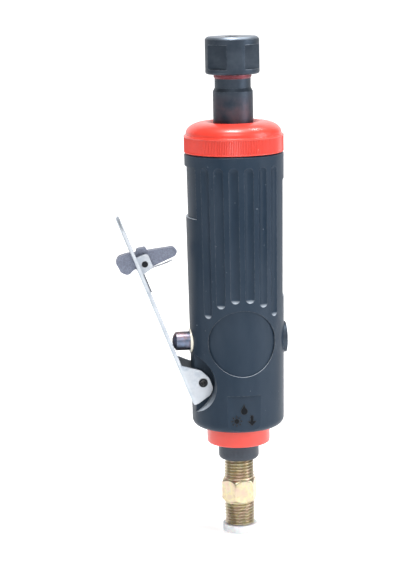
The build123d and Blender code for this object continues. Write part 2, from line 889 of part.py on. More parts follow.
def make_throttle_bushing():
    lip_inner = throttle_bushing_reach - throttle_bushing_lip
    bushing = across(throttle_bushing_radius, lip_inner, throttle_bushing_reach)
    bushing += across(throttle_thread_radius, throttle_thread_reach, lip_inner)
    bushing -= across(button_radius + run_gap, throttle_thread_reach - 1, throttle_bushing_reach + 1)
    return bushing


def make_throttle_button():
    centre = button_tip_reach - button_round
    button = across(button_radius, button_seat_reach, button_tip_reach)
    button &= Pos(-centre, 0, -valve_station) * Sphere(button_round) + across(
        button_radius + 1, button_seat_reach - 1, button_tip_reach - button_dome
    )
    return button - across(stem_radius, button_seat_reach - 1, button_seat_reach + 6)


def make_throttle_stem():
    stem = across(stem_radius, disc_reach - valve_disc - 1.8, button_seat_reach + 6)
    return stem + across(valve_disc_radius, disc_reach - valve_disc, disc_reach - 0.01)


def make_valve_seal():
    """Rubber washer on the stem, just behind the seat."""
    front = seat_reach - 0.05
    washer = across(valve_disc_radius, disc_reach, front)
    return washer - across(stem_radius, disc_reach - 1, front + 1)


def make_valve_spring():
    """Closed-up stand-in: a thin sleeve with the spring's outside and inside radii."""
    outer = valve_disc_radius - 0.5
    start = disc_reach - valve_disc
    sleeve = across(outer, -regulator_inner + 0.05, start)
    return sleeve - across(outer - 2 * valve_spring_wire, -regulator_inner - 1, start + 1)


def make_speed_regulator():
    shoulder = regulator_face - regulator_dial
    spool = across(regulator_spool_radius - run_gap, -regulator_inner, -shoulder)
    dial = across(regulator_dial_radius, -shoulder, -regulator_face)
    slot = block(
        (regulator_face - regulator_slot_depth, regulator_face + 1),
        (-regulator_slot / 2, regulator_slot / 2),
        valve_station - regulator_dial_radius * 0.75,
        valve_station + regulator_dial_radius * 0.75,
    )
    front, back = regulator_groove_front, regulator_groove_back
    groove = across(regulator_spool_radius + 1, -back, -front)
    groove -= across(regulator_spool_radius - 2 * oring_wire - 0.1, -back + 1, -front - 1)
    return spool + dial - slot - groove


def make_regulator_oring():
    ring = Torus(regulator_spool_radius - oring_wire, oring_wire)
    middle = (regulator_groove_front + regulator_groove_back) / 2
    return Pos(middle, 0, -valve_station) * Rot(0, 90, 0) * ring


# ---- throttle lever and lock


def make_lever():
    half, inner, outer = lever_width / 2, lever_inner_face, lever_outer_face
    plate_outline = rounded(
        [(-lever_bottom, -half), (lever_top, -half), (lever_top, half), (-lever_bottom, half)],
        [0, lever_tip_round, lever_tip_round, 0],
    )
    slope = math.radians(lever_angle)
    out = (-math.cos(slope), 0, -math.sin(slope))
    along = (-math.sin(slope), 0, math.cos(slope))
    start = lever_place(0, -inner)
    plate = extrude(Plane(origin=start, x_dir=along, z_dir=out) * plate_outline, sheet, dir=out)
    lever = plate + ear(near_ear_top, -half) + ear(far_ear_top, half - sheet)
    outer_line = Vector(*lever_place(0, -outer))
    long_edges = [
        edge
        for edge in lever.edges().filter_by(GeomType.LINE)
        if abs(abs(edge.center().Y) - half) < 1e-3
        and abs((edge.center() - outer_line).dot(Vector(*out))) < 1e-3
        and edge.length > lever_top / 2
    ]
    lever = fillet(long_edges, lever_bend * 0.62)
    slot = make_face(
        Polyline(
            (slot_low, -slot_width / 2),
            (slot_high, -slot_width / 2),
            (slot_high, slot_width / 2),
            (slot_low, slot_width / 2),
            close=True,
        )
    )
    slot_plane = Plane(origin=lever_place(0, -inner + 1), x_dir=along, z_dir=out)
    lever -= extrude(slot_plane * slot, sheet + 2, dir=out)
    tab_top = -inner + bracket_depth
    tab = rounded(
        [
            (bracket_low, -inner),
            (bracket_high, -inner),
            (bracket_high, tab_top),
            (bracket_low + 1.2, tab_top),
        ],
        [0, 0, 1.5, 1.5],
    )
    for side in (-1, 1):
        b = bracket_gap / 2 if side > 0 else -bracket_gap / 2 - bracket_sheet
        lever += extrude(lever_plane(b) * tab, bracket_sheet, dir=(0, 1, 0))
    lever -= rod(
        lock_pin_radius + run_gap,
        lever_place(lock_pin_up, -lock_pin_in, -half),
        lever_place(lock_pin_up, -lock_pin_in, half),
    )
    lever -= rod(pivot_pin_radius + run_gap, lever_place(0, 0, -half - 1), lever_place(0, 0, half + 1))
    return lever


def make_lever_pin():
    half = lever_width / 2 + 0.3
    pin = rod(pivot_pin_radius, lever_place(0, 0, -half), lever_place(0, 0, half))
    return pin - rod(pivot_pin_bore, lever_place(0, 0, -half - 1), lever_place(0, 0, half + 1))


def lock_plane(b):
    """Plane at the lock pin with local x inwards and local y up, facing +Y."""
    return Plane(origin=lever_place(lock_pin_up, -lock_pin_in, b), x_dir=(1, 0, 0), z_dir=(0, -1, 0))


def make_lock_lever():
    """Leg that props the lever off the body, and the thumb tab outside the plate."""
    tip = lock_reach
    points = [
        (3.6, -1.6),
        (tip - 1.2, 2.75),
        (tip, 5.0),
        (tip - 1.8, 7.0),
        (1.4, 5.6),
        (0.8, 7.2),
        (-3.0, 6.6),
        (-3.6, 4.8),
        (-7.6, 4.6),
        (-11.6, 3.4),
        (-12.7, 0.4),
        (-10.4, -3.9),
        (-7.2, -5.3),
        (-4.4, -2.6),
        (-1.0, -2.7),
    ]
    radii = [1.5, 1.4, 1.5, 1.4, 0.4, 0.6, 0.5, 0.5, 1.5, 2.5, 2.5, 2.0, 2.0, 1.5, 2.0]
    half = lock_thickness / 2
    lock = extrude(lock_plane(half) * rounded(points, radii), lock_thickness, dir=(0, -1, 0))
    lock -= rod(
        lock_pin_radius + run_gap,
        lever_place(lock_pin_up, -lock_pin_in, -lever_width),
        lever_place(lock_pin_up, -lock_pin_in, lever_width),
    )
    return lock


def make_lock_pin():
    half = bracket_gap / 2 + bracket_sheet + 0.3
    pin_ends = [lever_place(lock_pin_up, -lock_pin_in, side * half) for side in (-1, 1)]
    return rod(lock_pin_radius, *pin_ends)


def make_lock_spring():
    """Torsion spring on the near side of the lock: two turns and two legs."""
    wire = lock_spring_wire
    b = -(lock_thickness / 2 + bracket_gap / 2) / 2
    coil = None
    for offset in (-wire * 0.8, wire * 0.8):
        place = Plane(origin=lever_place(lock_pin_up, -lock_pin_in, b + offset), z_dir=(0, 1, 0))
        turn = place * Torus(lock_spring_radius, wire)
        coil = turn if coil is None else coil + turn
    pin = Vector(*lever_place(lock_pin_up, -lock_pin_in, b))
    slope = math.radians(lever_angle)
    down = Vector(math.sin(slope), 0, -math.cos(slope))
    inward = Vector(math.cos(slope), 0, math.sin(slope))
    against = lock_pin_in - lever_inner_face + wire + 0.12
    leg_start = pin + inward * against
    leg_end = leg_start + down * 13.0
    coil += rod(wire, tuple(pin - inward * lock_spring_radius), tuple(leg_end))
    return coil


makers = {
    "collet_nut": make_collet_nut,
    "collet": make_collet,
    "collet_body": make_collet_body,
    "front_cap": make_front_cap,
    "grip_shell": make_grip_shell,
    "motor_housing": make_motor_housing,
    "front_bearing_outer_ring": lambda: make_outer_race(front_bearing, front_bearing_station),
    "front_bearing_inner_ring": lambda: make_inner_race(front_bearing, front_bearing_station),
    "front_bearing_balls": lambda: make_balls(front_bearing, front_bearing_station),
    "rear_bearing_outer_ring": lambda: make_outer_race(rear_bearing, rear_bearing_station),
    "rear_bearing_inner_ring": lambda: make_inner_race(rear_bearing, rear_bearing_station),
    "rear_bearing_balls": lambda: make_balls(rear_bearing, rear_bearing_station),
    "front_plate": make_front_plate,
    "cylinder": make_cylinder,
    "rotor": make_rotor,
    "vanes": make_vanes,
    "rear_plate": make_rear_plate,
    "rear_gasket": make_rear_gasket,
    "rear_retaining_ring": make_rear_retaining_ring,
    "locating_pin": make_locating_pin,
    "exhaust_ring": make_exhaust_ring,
    "muffler_felt": make_muffler_felt,
    "inlet_bushing": make_inlet_bushing,
    "inlet_oring": make_inlet_oring,
    "inlet_screen": make_inlet_screen,
    "hose_nipple": make_hose_nipple,
    "dust_plug": make_dust_plug,
    "throttle_bushing": make_throttle_bushing,
    "throttle_button": make_throttle_button,
    "throttle_stem": make_throttle_stem,
    "valve_seal": make_valve_seal,
    "valve_spring": make_valve_spring,
    "speed_regulator": make_speed_regulator,
    "regulator_oring": make_regulator_oring,
    "throttle_lever": make_lever,
    "lever_pin": make_lever_pin,
    "lock_lever": make_lock_lever,
    "lock_pin": make_lock_pin,
    "lock_spring": make_lock_spring,
}

os.makedirs("parts", exist_ok=True)
for node, maker in makers.items():
    export_step(maker(), f"parts/{node}.step")
    print("built", node)
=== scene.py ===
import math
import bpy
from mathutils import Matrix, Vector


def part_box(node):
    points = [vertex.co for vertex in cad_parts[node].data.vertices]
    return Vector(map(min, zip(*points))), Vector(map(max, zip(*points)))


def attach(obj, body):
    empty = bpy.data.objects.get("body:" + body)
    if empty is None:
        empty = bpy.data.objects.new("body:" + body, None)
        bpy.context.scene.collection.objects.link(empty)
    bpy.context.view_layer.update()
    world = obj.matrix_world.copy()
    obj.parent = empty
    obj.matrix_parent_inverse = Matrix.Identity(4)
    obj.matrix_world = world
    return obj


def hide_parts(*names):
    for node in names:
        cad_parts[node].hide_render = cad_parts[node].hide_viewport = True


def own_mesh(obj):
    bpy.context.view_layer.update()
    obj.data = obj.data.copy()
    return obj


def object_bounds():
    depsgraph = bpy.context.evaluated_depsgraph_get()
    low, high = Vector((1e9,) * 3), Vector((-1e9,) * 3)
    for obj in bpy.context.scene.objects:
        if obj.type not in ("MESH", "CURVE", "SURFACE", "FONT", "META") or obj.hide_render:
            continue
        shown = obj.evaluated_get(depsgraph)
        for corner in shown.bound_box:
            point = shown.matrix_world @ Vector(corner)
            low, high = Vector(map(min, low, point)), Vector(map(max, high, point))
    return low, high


bl_info = {
    "name": "Die Grinder",
    "version": (1, 0, 0),
    "blender": (4, 5, 0),
    "location": "View3D > Sidebar > Grinder",
    "description": "Fine shapes and finishes for an air die grinder on its fixed frame",
    "category": "Object",
}

import bmesh
import bpy
from bpy.props import FloatProperty, FloatVectorProperty, IntProperty, PointerProperty
from mathutils import Matrix, Vector

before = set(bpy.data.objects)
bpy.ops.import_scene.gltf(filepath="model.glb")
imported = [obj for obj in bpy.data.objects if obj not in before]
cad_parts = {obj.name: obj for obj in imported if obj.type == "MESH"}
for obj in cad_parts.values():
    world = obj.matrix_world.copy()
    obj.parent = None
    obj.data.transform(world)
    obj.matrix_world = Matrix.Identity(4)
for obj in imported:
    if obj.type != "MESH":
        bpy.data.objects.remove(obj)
cad_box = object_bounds()

MM = 0.001


# ---- what a user may change


def length(name, description, default, low=0.0):
    shown = {"subtype": "DISTANCE", "unit": "LENGTH", "precision": 5}
    return FloatProperty(name=name, description=description, default=default, min=low, **shown)


def power(name, description, default):
    return FloatProperty(name=name, description=description, default=default, min=0)


def colour(name, description, default):
    return FloatVectorProperty(
        name=name, description=description, default=default, size=3, min=0.0, max=1.0, subtype="COLOR"
    )


class ShapeSettings(bpy.types.PropertyGroup):
    cap_ridges: IntProperty(
        name="Cap ridges", description="Grip ridges round the front cap's band", default=184, min=24, max=400
    )
    cap_ridge_depth: length("Ridge depth", "How deep the grooves between the ridges are", 0.26 * MM)
    thread_pitch: length("Thread pitch", "Distance from one pipe thread to the next", 1.41 * MM, 0.5 * MM)
    thread_depth: length("Thread depth", "How deep the pipe threads are cut", 0.72 * MM)
    valve_spring_turns: IntProperty(
        name="Valve spring turns", description="Turns of the valve's return spring", default=5, min=2, max=12
    )
    mark_height: length("Mark height", "How far the moulded oiling marks stand off the panel", 0.28 * MM)


class ColourSettings(bpy.types.PropertyGroup):
    grip: colour("Grip", "Moulded grip", (0.0098, 0.0235, 0.0430))
    red: colour("Red parts", "Front cap and exhaust ring", (0.64, 0.032, 0.015))
    oxide: colour("Black oxide", "Collet nut and spindle", (0.034, 0.048, 0.068))
    zinc: colour("Zinc", "Throttle lever", (0.50, 0.53, 0.57))
    brass: colour("Yellow zinc", "Hose nipple", (0.52, 0.44, 0.31))


class StageSettings(bpy.types.PropertyGroup):
    lens: FloatProperty(name="Lens", description="Camera lens in millimetres", default=124.7, min=20, max=300)
    roll: FloatProperty(
        name="Roll",
        description="How far the camera leans",
        default=math.radians(1.15),
        subtype="ANGLE",
        unit="ROTATION",
    )
    key: power("Key light", "Power of the large light in front", 4.3)
    side: power("Side light", "Power of the light on the right", 5.2)
    top: power("Top light", "Power of the small light overhead", 9.0)
    surround: power("Surround", "Strength of the light from all round", 0.24)


class GrinderSettings(bpy.types.PropertyGroup):
    shape: PointerProperty(type=ShapeSettings)
    colours: PointerProperty(type=ColourSettings)
    stage: PointerProperty(type=StageSettings)


def settings():
    return bpy.context.scene.grinder


# ---- shader maths


class Wire:
    """A node socket in ordinary arithmetic: each sign adds one Math node."""

    def __init__(self, finish, socket):
        self.finish = finish
        self.socket = socket

    def maths(self, operation, *values):
        return self.finish.node("Math", {"operation": operation}, values)

    def __add__(self, other):
        return self.maths("ADD", self, other)

    def __radd__(self, other):
        return self.maths("ADD", other, self)

    def __sub__(self, other):
        return self.maths("SUBTRACT", self, other)

    def __rsub__(self, other):
        return self.maths("SUBTRACT", other, self)

    def __mul__(self, other):
        return self.maths("MULTIPLY", self, other)

    def __rmul__(self, other):
        return self.maths("MULTIPLY", other, self)


class Finish:
    """One material: a Principled shader and the nodes that feed it."""

    def __init__(self, name, **fixed):
        self.material = bpy.data.materials.new(name)
        self.material.use_nodes = True
        self.tree = self.material.node_tree
        self.shader = self.tree.nodes["Principled BSDF"]
        for socket, value in fixed.items():
            self.shader.inputs[socket.replace("_", " ")].default_value = value
        self.place = self.node("TexCoord", out="Object")

    def node(self, kind, choices=None, feeds=(), out=0):
        """Any node: its own choices first, then the values or links of its sockets."""
        made = self.tree.nodes.new("ShaderNode" + kind)
        for name, value in (choices or {}).items():
            if name == "stops":
                ramp = made.color_ramp
                for index, (at, shade) in enumerate(value):
                    stop = ramp.elements[index] if index < 2 else ramp.elements.new(at)
                    stop.position = at
                    stop.color = (*shade, 1.0)
            else:
                setattr(made, name, value)
        for name, value in feeds.items() if isinstance(feeds, dict) else enumerate(feeds):
            self.feed(made.inputs[name], value)
        return Wire(self, made.outputs[out])

    def feed(self, socket, value):
        if isinstance(value, Wire):
            self.tree.links.new(value.socket, socket)
        elif socket.type == "RGBA":
            socket.default_value = (*value, 1.0)
        else:
            socket.default_value = value

    def set(self, **feeds):
        for name, value in feeds.items():
            self.feed(self.shader.inputs[name.replace("_", " ")], value)

    def blend(self, share, first, second):
        """From the first colour to the second as share goes from 0 to 1."""
        choices = {"data_type": "RGBA", "clamp_factor": True}
        return self.node("Mix", choices, {0: share, 6: first, 7: second}, out=2)

    def between(self, value, low, high, to_low=0.0, to_high=1.0):
        """Value from low to high, spread over to_low to to_high and kept inside."""
        feeds = {"Value": value, "From Min": low, "From Max": high, "To Min": to_low, "To Max": to_high}
        return self.node("MapRange", {"clamp": True}, feeds)

    def stretched(self, x, y, z):
        return self.node("VectorMath", {"operation": "MULTIPLY"}, (self.place, (x, y, z)))

    def noise(self, scale, detail=3.0, rough=0.55, where=None):
        feeds = {"Vector": where or self.place, "Scale": scale, "Detail": detail, "Roughness": rough}
        return self.node("TexNoise", {}, feeds)

    def along(self, axis):
        """The object's own x, y or z in metres."""
        return self.node("SeparateXYZ", {}, (self.place,), out=axis)

    def reach(self):
        """Distance from the spindle axis in metres."""
        return self.node("VectorMath", {"operation": "LENGTH"}, (self.stretched(1, 1, 0),), out="Value")

    def rims(self, width):
        """1 on the rims of a piece and 0 on its flats."""
        eased = self.node("Bevel", {"samples": 6}, {"Radius": width})
        true = self.node("NewGeometry", out="Normal")
        facing = self.node("VectorMath", {"operation": "DOT_PRODUCT"}, (eased, true), out="Value")
        return self.between(facing, 0.995, 0.9)

    def specks(self, scale, size, share):
        """Small separate spots: scale cells to the metre, a share of which hold one."""
        feeds = {"Vector": self.place, "Scale": scale}
        near = self.node("TexVoronoi", {}, feeds, out="Distance")
        chance = self.node("SeparateColor", {}, (self.node("TexVoronoi", {}, feeds, out="Color"),))
        spot = self.between(near, size, size * 0.5)
        return spot * self.between(chance, share, share * 0.9)

    def bump(self, height, distance, strength=1.0):
        feeds = {"Strength": strength, "Distance": distance, "Height": height}
        self.set(Normal=self.node("Bump", {}, feeds))


def lighter(shade, share):
    return tuple(c + (1 - c) * share for c in shade)


def darker(shade, share):
    return tuple(c * (1 - share) for c in shade)


# ---- finishes


def grip_finish():
    """Glass-filled moulding: fine grain, faint flow marks, dust, rubbed edges with a painted highlight, and
    painted highlights on the upward-facing ledges.
    """
    shade = tuple(settings().colours.grip)
    f = Finish("moulded_grip", Specular_IOR_Level=0.13)
    grain = f.noise(2600, 4)
    flow = f.noise(38, 4, 0.6, f.stretched(1, 1, 0.35))
    dust = f.specks(310, 0.085, 0.16)
    lint = f.specks(720, 0.10, 0.05)
    rubbed_and_highlit = f.rims(0.35 * MM) * f.between(f.noise(900, 3), 0.35, 0.62)
    base = f.blend(f.between(flow, 0.3, 0.7), darker(shade, 0.16), lighter(shade, 0.018))
    # rubbed wear on the rims, paled further as a painted highlight
    base = f.blend(rubbed_and_highlit * 0.5, base, lighter(shade, 0.16))
    # painted highlight: faces that turn upwards below the grip's brow are paled as if lit from above
    rise = f.node("SeparateXYZ", {}, (f.node("NewGeometry", out="Normal"),), out=2)
    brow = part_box("grip_shell")[1].z
    below = f.between(f.along("Z"), brow - 0.6 * MM, brow - 1.4 * MM)
    base = f.blend(below * f.between(rise, 0.22, 0.75) * 0.8, base, (0.46, 0.51, 0.57))
    base = f.blend((dust + lint) * 0.75, base, (0.36, 0.40, 0.45))
    f.set(Base_Color=base, Roughness=f.between(flow + grain * 0.3, 0.45, 0.95, 0.36, 0.52) - rubbed_and_highlit * 0.10)
    f.bump(grain + dust * 0.8, 0.05 * MM, 0.55)
    return f.material


def red_finish():
    """Glossy coloured resin with chipped, paler rims and painted shade in the band's grooves."""
    shade = tuple(settings().colours.red)
    f = Finish("red_resin", Specular_IOR_Level=0.45, Coat_Roughness=0.20)
    swirl = f.noise(60, 3)
    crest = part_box("front_cap")[1].z
    height = f.along("Z")
    band_top, band_foot = crest - 6.2 * MM, crest - 13.2 * MM
    band = f.between(height, band_foot, band_foot + 0.2 * MM)
    band = band * f.between(height, band_top, band_top - 0.3 * MM)
    rim = f.rims(0.30 * MM) * (1.0 - band)
    chips = rim * f.between(f.noise(820, 4, 0.7), 0.56, 0.66)
    nicks = f.specks(260, 0.07, 0.10)
    base = f.blend(f.between(swirl, 0.3, 0.7), darker(shade, 0.05), lighter(shade, 0.015))
    base = f.blend(rim * 0.30, base, (0.95, 0.16, 0.11))
    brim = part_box("front_cap")[1].x
    # painted shade in the grooves between the band's ridges
    groove_shade = band * f.between(f.reach(), brim - 0.16 * MM, brim - 0.36 * MM)
    base = f.blend(groove_shade * 0.45, base, darker(shade, 0.45))
    base = f.blend(chips * 0.8 + nicks * 0.35, base, (0.93, 0.62, 0.52))
    f.set(Base_Color=base, Roughness=0.34 + 0.10 * swirl + 0.2 * chips, Coat_Weight=0.35 - 0.25 * chips)
    f.bump(f.noise(240, 2) + 0.15 * f.noise(2400, 2) - 0.6 * chips, 0.03 * MM, 0.5)
    return f.material


def oxide_finish():
    """Blackened steel: turning marks, worn rims, a heat-tinted shaft, a red-brown ring and a painted
    highlight on the nut's top.
    """
    shade = tuple(settings().colours.oxide)
    f = Finish("blackened_steel", Metallic=0.85)
    height = f.along("Z")
    turning = f.noise(900, 2, 0.5, f.stretched(0.05, 0.05, 2.6))
    cloud = f.noise(130, 4)
    rim = f.rims(0.35 * MM)
    worn = rim * f.between(f.noise(700, 4), 0.34, 0.60)
    base = f.blend(f.between(cloud, 0.3, 0.7), darker(shade, 0.22), lighter(shade, 0.02))
    tint = f.between(height, -24.5 * MM, -31 * MM) * f.between(height, -62 * MM, -38 * MM)
    base = f.blend(tint * f.between(cloud, 0.38, 0.62) * 0.45, base, (0.115, 0.060, 0.066))
    # painted highlight round the top of the nut
    nut_top_highlight = f.between(height, -0.95 * MM, -0.35 * MM)
    base = f.blend(nut_top_highlight * 0.40, base, (0.36, 0.41, 0.47))
    ring = f.between(height, -16.3 * MM, -16.5 * MM) * f.between(height, -18.4 * MM, -18.1 * MM)
    base = f.blend(ring * 0.85, base, (0.21, 0.050, 0.060))
    base = f.blend(worn * 0.45, base, (0.42, 0.46, 0.52))
    base = f.blend(f.specks(420, 0.08, 0.14) * 0.6, base, (0.38, 0.41, 0.46))
    f.set(Base_Color=base, Roughness=0.37 + 0.16 * turning + 0.08 * cloud - 0.08 * worn)
    f.bump(turning + 0.35 * f.noise(3200, 2), 0.03 * MM, 0.5)
    return f.material


def zinc_finish():
    """Bright plated sheet: rolled grain, faint spangle, dulled patches and painted shade along the rims."""
    shade = tuple(settings().colours.zinc)
    f = Finish("bright_zinc", Metallic=0.88, Specular_Tint=(0.55, 0.59, 0.64, 1.0))
    rolled = f.noise(1500, 3, 0.6, f.stretched(1, 1, 0.12))
    spangle = f.node("TexVoronoi", {}, {"Vector": f.place, "Scale": 420.0}, out="Color")
    spangle = f.node("SeparateColor", {}, (spangle,))
    dull = f.between(f.noise(170, 4, 0.65), 0.50, 0.68)
    rim = f.rims(0.30 * MM)
    base = f.blend(spangle * 0.35 + rolled * 0.25, shade, darker(shade, 0.13))
    base = f.blend(dull * 0.6, base, (0.33, 0.38, 0.45))
    # painted shade: the rims of the sheet are darkened
    base = f.blend(rim * 0.55, base, darker(shade, 0.45))
    base = f.blend(f.specks(520, 0.10, 0.10) * 0.7, base, (0.26, 0.27, 0.29))
    f.set(Base_Color=base, Roughness=0.38 + 0.12 * rolled + 0.12 * dull)
    f.bump(rolled + 0.5 * f.noise(520, 2), 0.04 * MM, 0.5)
    return f.material


def yellow_zinc_finish():
    """Chromated plating whose film shifts between gold, rose and green, with painted shade in the thread
    valleys.
    """
    shade = tuple(settings().colours.brass)
    f = Finish("yellow_chromate", Metallic=0.92)
    film = f.noise(210, 2, 0.5) + 0.22 * f.noise(900, 2)
    stops = (
        (0.00, (0.50, 0.33, 0.31)),
        (0.34, shade),
        (0.50, (0.66, 0.58, 0.30)),
        (0.60, (0.44, 0.55, 0.37)),
        (0.72, (0.62, 0.42, 0.38)),
        (1.00, lighter(shade, 0.12)),
    )
    hue = f.node("ValToRGB", {"stops": stops}, (f.between(film, 0.38, 0.84),), out="Color")
    rim = f.rims(0.22 * MM)
    base = f.blend(0.35 + 0.3 * f.noise(60, 1), shade, hue)
    base = f.blend(rim * 0.35, base, (0.80, 0.74, 0.58))
    # painted shade in the valleys of the threads
    thread_valley_shade = f.between(f.reach(), 6.62 * MM, 6.25 * MM)
    base = f.blend(thread_valley_shade * 0.42, base, (0.20, 0.14, 0.09))
    grime = f.between(f.noise(640, 4), 0.55, 0.72)
    base = f.blend(grime * 0.35, base, (0.28, 0.21, 0.13))
    f.set(Base_Color=base, Roughness=0.24 + 0.14 * f.noise(500, 2) + 0.1 * grime)
    f.bump(f.noise(1600, 3), 0.02 * MM, 0.5)
    return f.material


def sintered_finish():
    """Pressed-powder steel, steam blued: coarse pores and a violet cast."""
    f = Finish("sintered_steel", Metallic=0.80)
    pores = f.between(f.noise(1900, 4, 0.7), 0.36, 0.62)
    cast = f.noise(260, 3)
    rim = f.rims(0.30 * MM)
    base = f.blend(cast, (0.16, 0.18, 0.24), (0.25, 0.275, 0.345))
    base = f.blend(0.35 + 0.65 * pores, (0.11, 0.12, 0.16), base)
    base = f.blend(rim * 0.5, base, (0.50, 0.50, 0.58))
    f.set(Base_Color=base, Roughness=0.52 - 0.14 * pores)
    f.bump(pores + 0.4 * f.noise(700, 2), 0.07 * MM, 0.6)
    return f.material


def button_finish():
    """Ground steel plunger with blue and rose temper colours."""
    f = Finish("tempered_plunger", Metallic=0.92)
    ground = f.noise(1400, 3, 0.6, f.stretched(0.08, 1, 1))
    patch = f.between(f.noise(230, 3, 0.6), 0.40, 0.62)
    base = f.blend(patch, (0.085, 0.095, 0.125), (0.30, 0.19, 0.19))
    base = f.blend(f.between(f.noise(150, 3), 0.45, 0.62) * 0.7, base, (0.16, 0.22, 0.33))
    base = f.blend(f.rims(0.3 * MM) * 0.7, base, (0.62, 0.64, 0.68))
    f.set(Base_Color=base, Roughness=0.32 + 0.16 * ground)
    f.bump(ground, 0.03 * MM, 0.4)
    return f.material


def metal_finish(name, base, other, rough, grain=1200, stretch=(1, 1, 1), depth=0.03, metallic=1.0, wear=0.5):
    """A worked metal: grain drawn out along the cut, clouding and brighter rims."""
    f = Finish(name, Metallic=metallic)
    cut = f.noise(grain, 3, 0.6, f.stretched(*stretch))
    cloud = f.noise(160, 3)
    rim = f.rims(0.25 * MM) * f.between(cloud, 0.30, 0.60)
    shade = f.blend(0.55 * cut + 0.45 * cloud, base, other)
    shade = f.blend(rim * wear, shade, lighter(base, 0.45))
    f.set(Base_Color=shade, Roughness=f.between(cut + 0.5 * cloud, 0.3, 1.1, rough - 0.08, rough + 0.10))
    f.bump(cut, depth * MM, 0.5)
    return f.material


def soft_finish(name, base, other, rough, grain, depth, fixed=None):
    """A non-metal: close grain, mottling and paler rims."""
    f = Finish(name, **(fixed or {}))
    close = f.noise(grain, 4, 0.65)
    mottle = f.noise(grain * 0.12, 3)
    shade = f.blend(0.5 * close + 0.5 * mottle, base, other)
    shade = f.blend(f.rims(0.25 * MM) * 0.25, shade, lighter(base, 0.3))
    f.set(Base_Color=shade, Roughness=f.between(close, 0.3, 0.7, rough - 0.07, rough + 0.07))
    f.bump(close, depth * MM, 0.6)
    return f.material


def resin_finish():
    """Laminated vane resin: brown with fine cloth threads both ways."""
    f = Finish("laminated_resin")
    weave = {"Vector": f.place, "Scale": 420.0, "Distortion": 1.5}
    warp = f.node("TexWave", {"wave_type": "BANDS", "bands_direction": "Z"}, weave)
    weft = f.node("TexWave", {"wave_type": "BANDS", "bands_direction": "X"}, weave)
    threads = warp * weft
    base = f.blend(threads, (0.16, 0.075, 0.030), (0.36, 0.19, 0.08))
    f.set(Base_Color=base, Roughness=0.42 + 0.2 * threads)
    f.bump(threads, 0.03 * MM, 0.5)
    return f.material


def felt_finish():
    """Grey needled felt: matted fibres."""
    f = Finish("needled_felt")
    matted = f.noise(1500, 6, 0.75, f.stretched(1, 1, 2.5))
    hairs = f.noise(5200, 2, 0.5, f.stretched(1, 3, 0.6))
    base = f.blend(0.6 * matted + 0.4 * hairs, (0.13, 0.125, 0.12), (0.52, 0.50, 0.47))
    f.set(Base_Color=base, Roughness=0.92 + 0.06 * hairs)
    f.bump(matted + 0.6 * hairs, 0.25 * MM, 0.9)
    return f.material


def plug_finish():
    """Thin-walled milky cap: soft, waxy and slightly clouded."""
    f = Finish("milky_polythene", Subsurface_Weight=0.25, Subsurface_Scale=0.004, Specular_IOR_Level=0.45)
    cloud = f.noise(140, 3)
    ribs = f.noise(420, 2, 0.5, f.stretched(1, 1, 0.2))
    base = f.blend(cloud, (0.66, 0.68, 0.70), (0.76, 0.77, 0.78))
    f.set(Base_Color=base, Roughness=0.30 + 0.18 * ribs)
    f.bump(ribs, 0.04 * MM, 0.4)
    return f.material


def make_finishes():
    """Every finish by its slot's name, and those that no slot holds."""
    steel = (0.50, 0.51, 0.53)
    return {
        "grip": grip_finish(),
        "red_plastic": red_finish(),
        "black_oxide": oxide_finish(),
        "zinc_sheet": zinc_finish(),
        "yellow_zinc": yellow_zinc_finish(),
        "sintered_steel": sintered_finish(),
        "plunger": button_finish(),
        "dark_pin": metal_finish(
            "dark_pin", (0.030, 0.032, 0.036), (0.012, 0.013, 0.015), 0.34, 1500, wear=0.25
        ),
        "vane_resin": resin_finish(),
        "felt": felt_finish(),
        "clear_plastic": plug_finish(),
        "housing_alloy": metal_finish(
            "cast_alloy", (0.62, 0.63, 0.65), (0.44, 0.45, 0.47), 0.50, 700, depth=0.07
        ),
        "cast_plate": metal_finish(
            "machined_iron", (0.24, 0.24, 0.25), (0.36, 0.36, 0.37), 0.40, 900, (1, 1, 0.1)
        ),
        "bearing_steel": metal_finish(
            "ground_steel", (0.70, 0.71, 0.73), (0.60, 0.61, 0.63), 0.20, 1600, (0.1, 0.1, 3)
        ),
        "rotor_steel": metal_finish(
            "turned_steel", steel, darker(steel, 0.25), 0.32, 1300, (0.06, 0.06, 2.2)
        ),
        "spring_steel": metal_finish(
            "spring_wire", (0.23, 0.24, 0.27), (0.13, 0.14, 0.16), 0.33, 1500
        ),
        "cage_brass": metal_finish(
            "cage_brass", (0.78, 0.58, 0.26), (0.62, 0.44, 0.18), 0.30, 1300
        ),
        "black_steel": metal_finish(
            "black_bushing", (0.050, 0.060, 0.076), (0.030, 0.036, 0.046), 0.42, 900, metallic=0.6, wear=0.22
        ),
        "screen_mesh": metal_finish(
            "screen_steel", (0.55, 0.56, 0.58), (0.38, 0.39, 0.41), 0.38, 2200
        ),
        "gasket_paper": soft_finish(
            "gasket_fibre", (0.33, 0.24, 0.15), (0.22, 0.15, 0.09), 0.88, 2400, 0.06
        ),
        "rubber_seal": soft_finish(
            "nitrile_rubber", (0.020, 0.021, 0.022), (0.034, 0.034, 0.036), 0.55, 1800, 0.03
        ),
        # painted shade: the raised marks are coloured near-black, as the shade in sunk letters
        "marks": soft_finish(
            "marks_in_painted_shade",
            (0.0035, 0.0045, 0.006),
            (0.008, 0.010, 0.013),
            0.7,
            2400,
            0.04,
            {"Specular_IOR_Level": 0.12},
        ),
        "pale_nylon": soft_finish(
            "pale_nylon", (0.86, 0.83, 0.72), (0.74, 0.70, 0.58), 0.42, 1200, 0.03
        ),
    }


finishes = {}

# nodes whose finish isn't their slot's
OWN_FINISHES = {"throttle_button": "plunger", "lever_pin": "dark_pin", "lock_pin": "dark_pin"}


# ---- mesh helpers


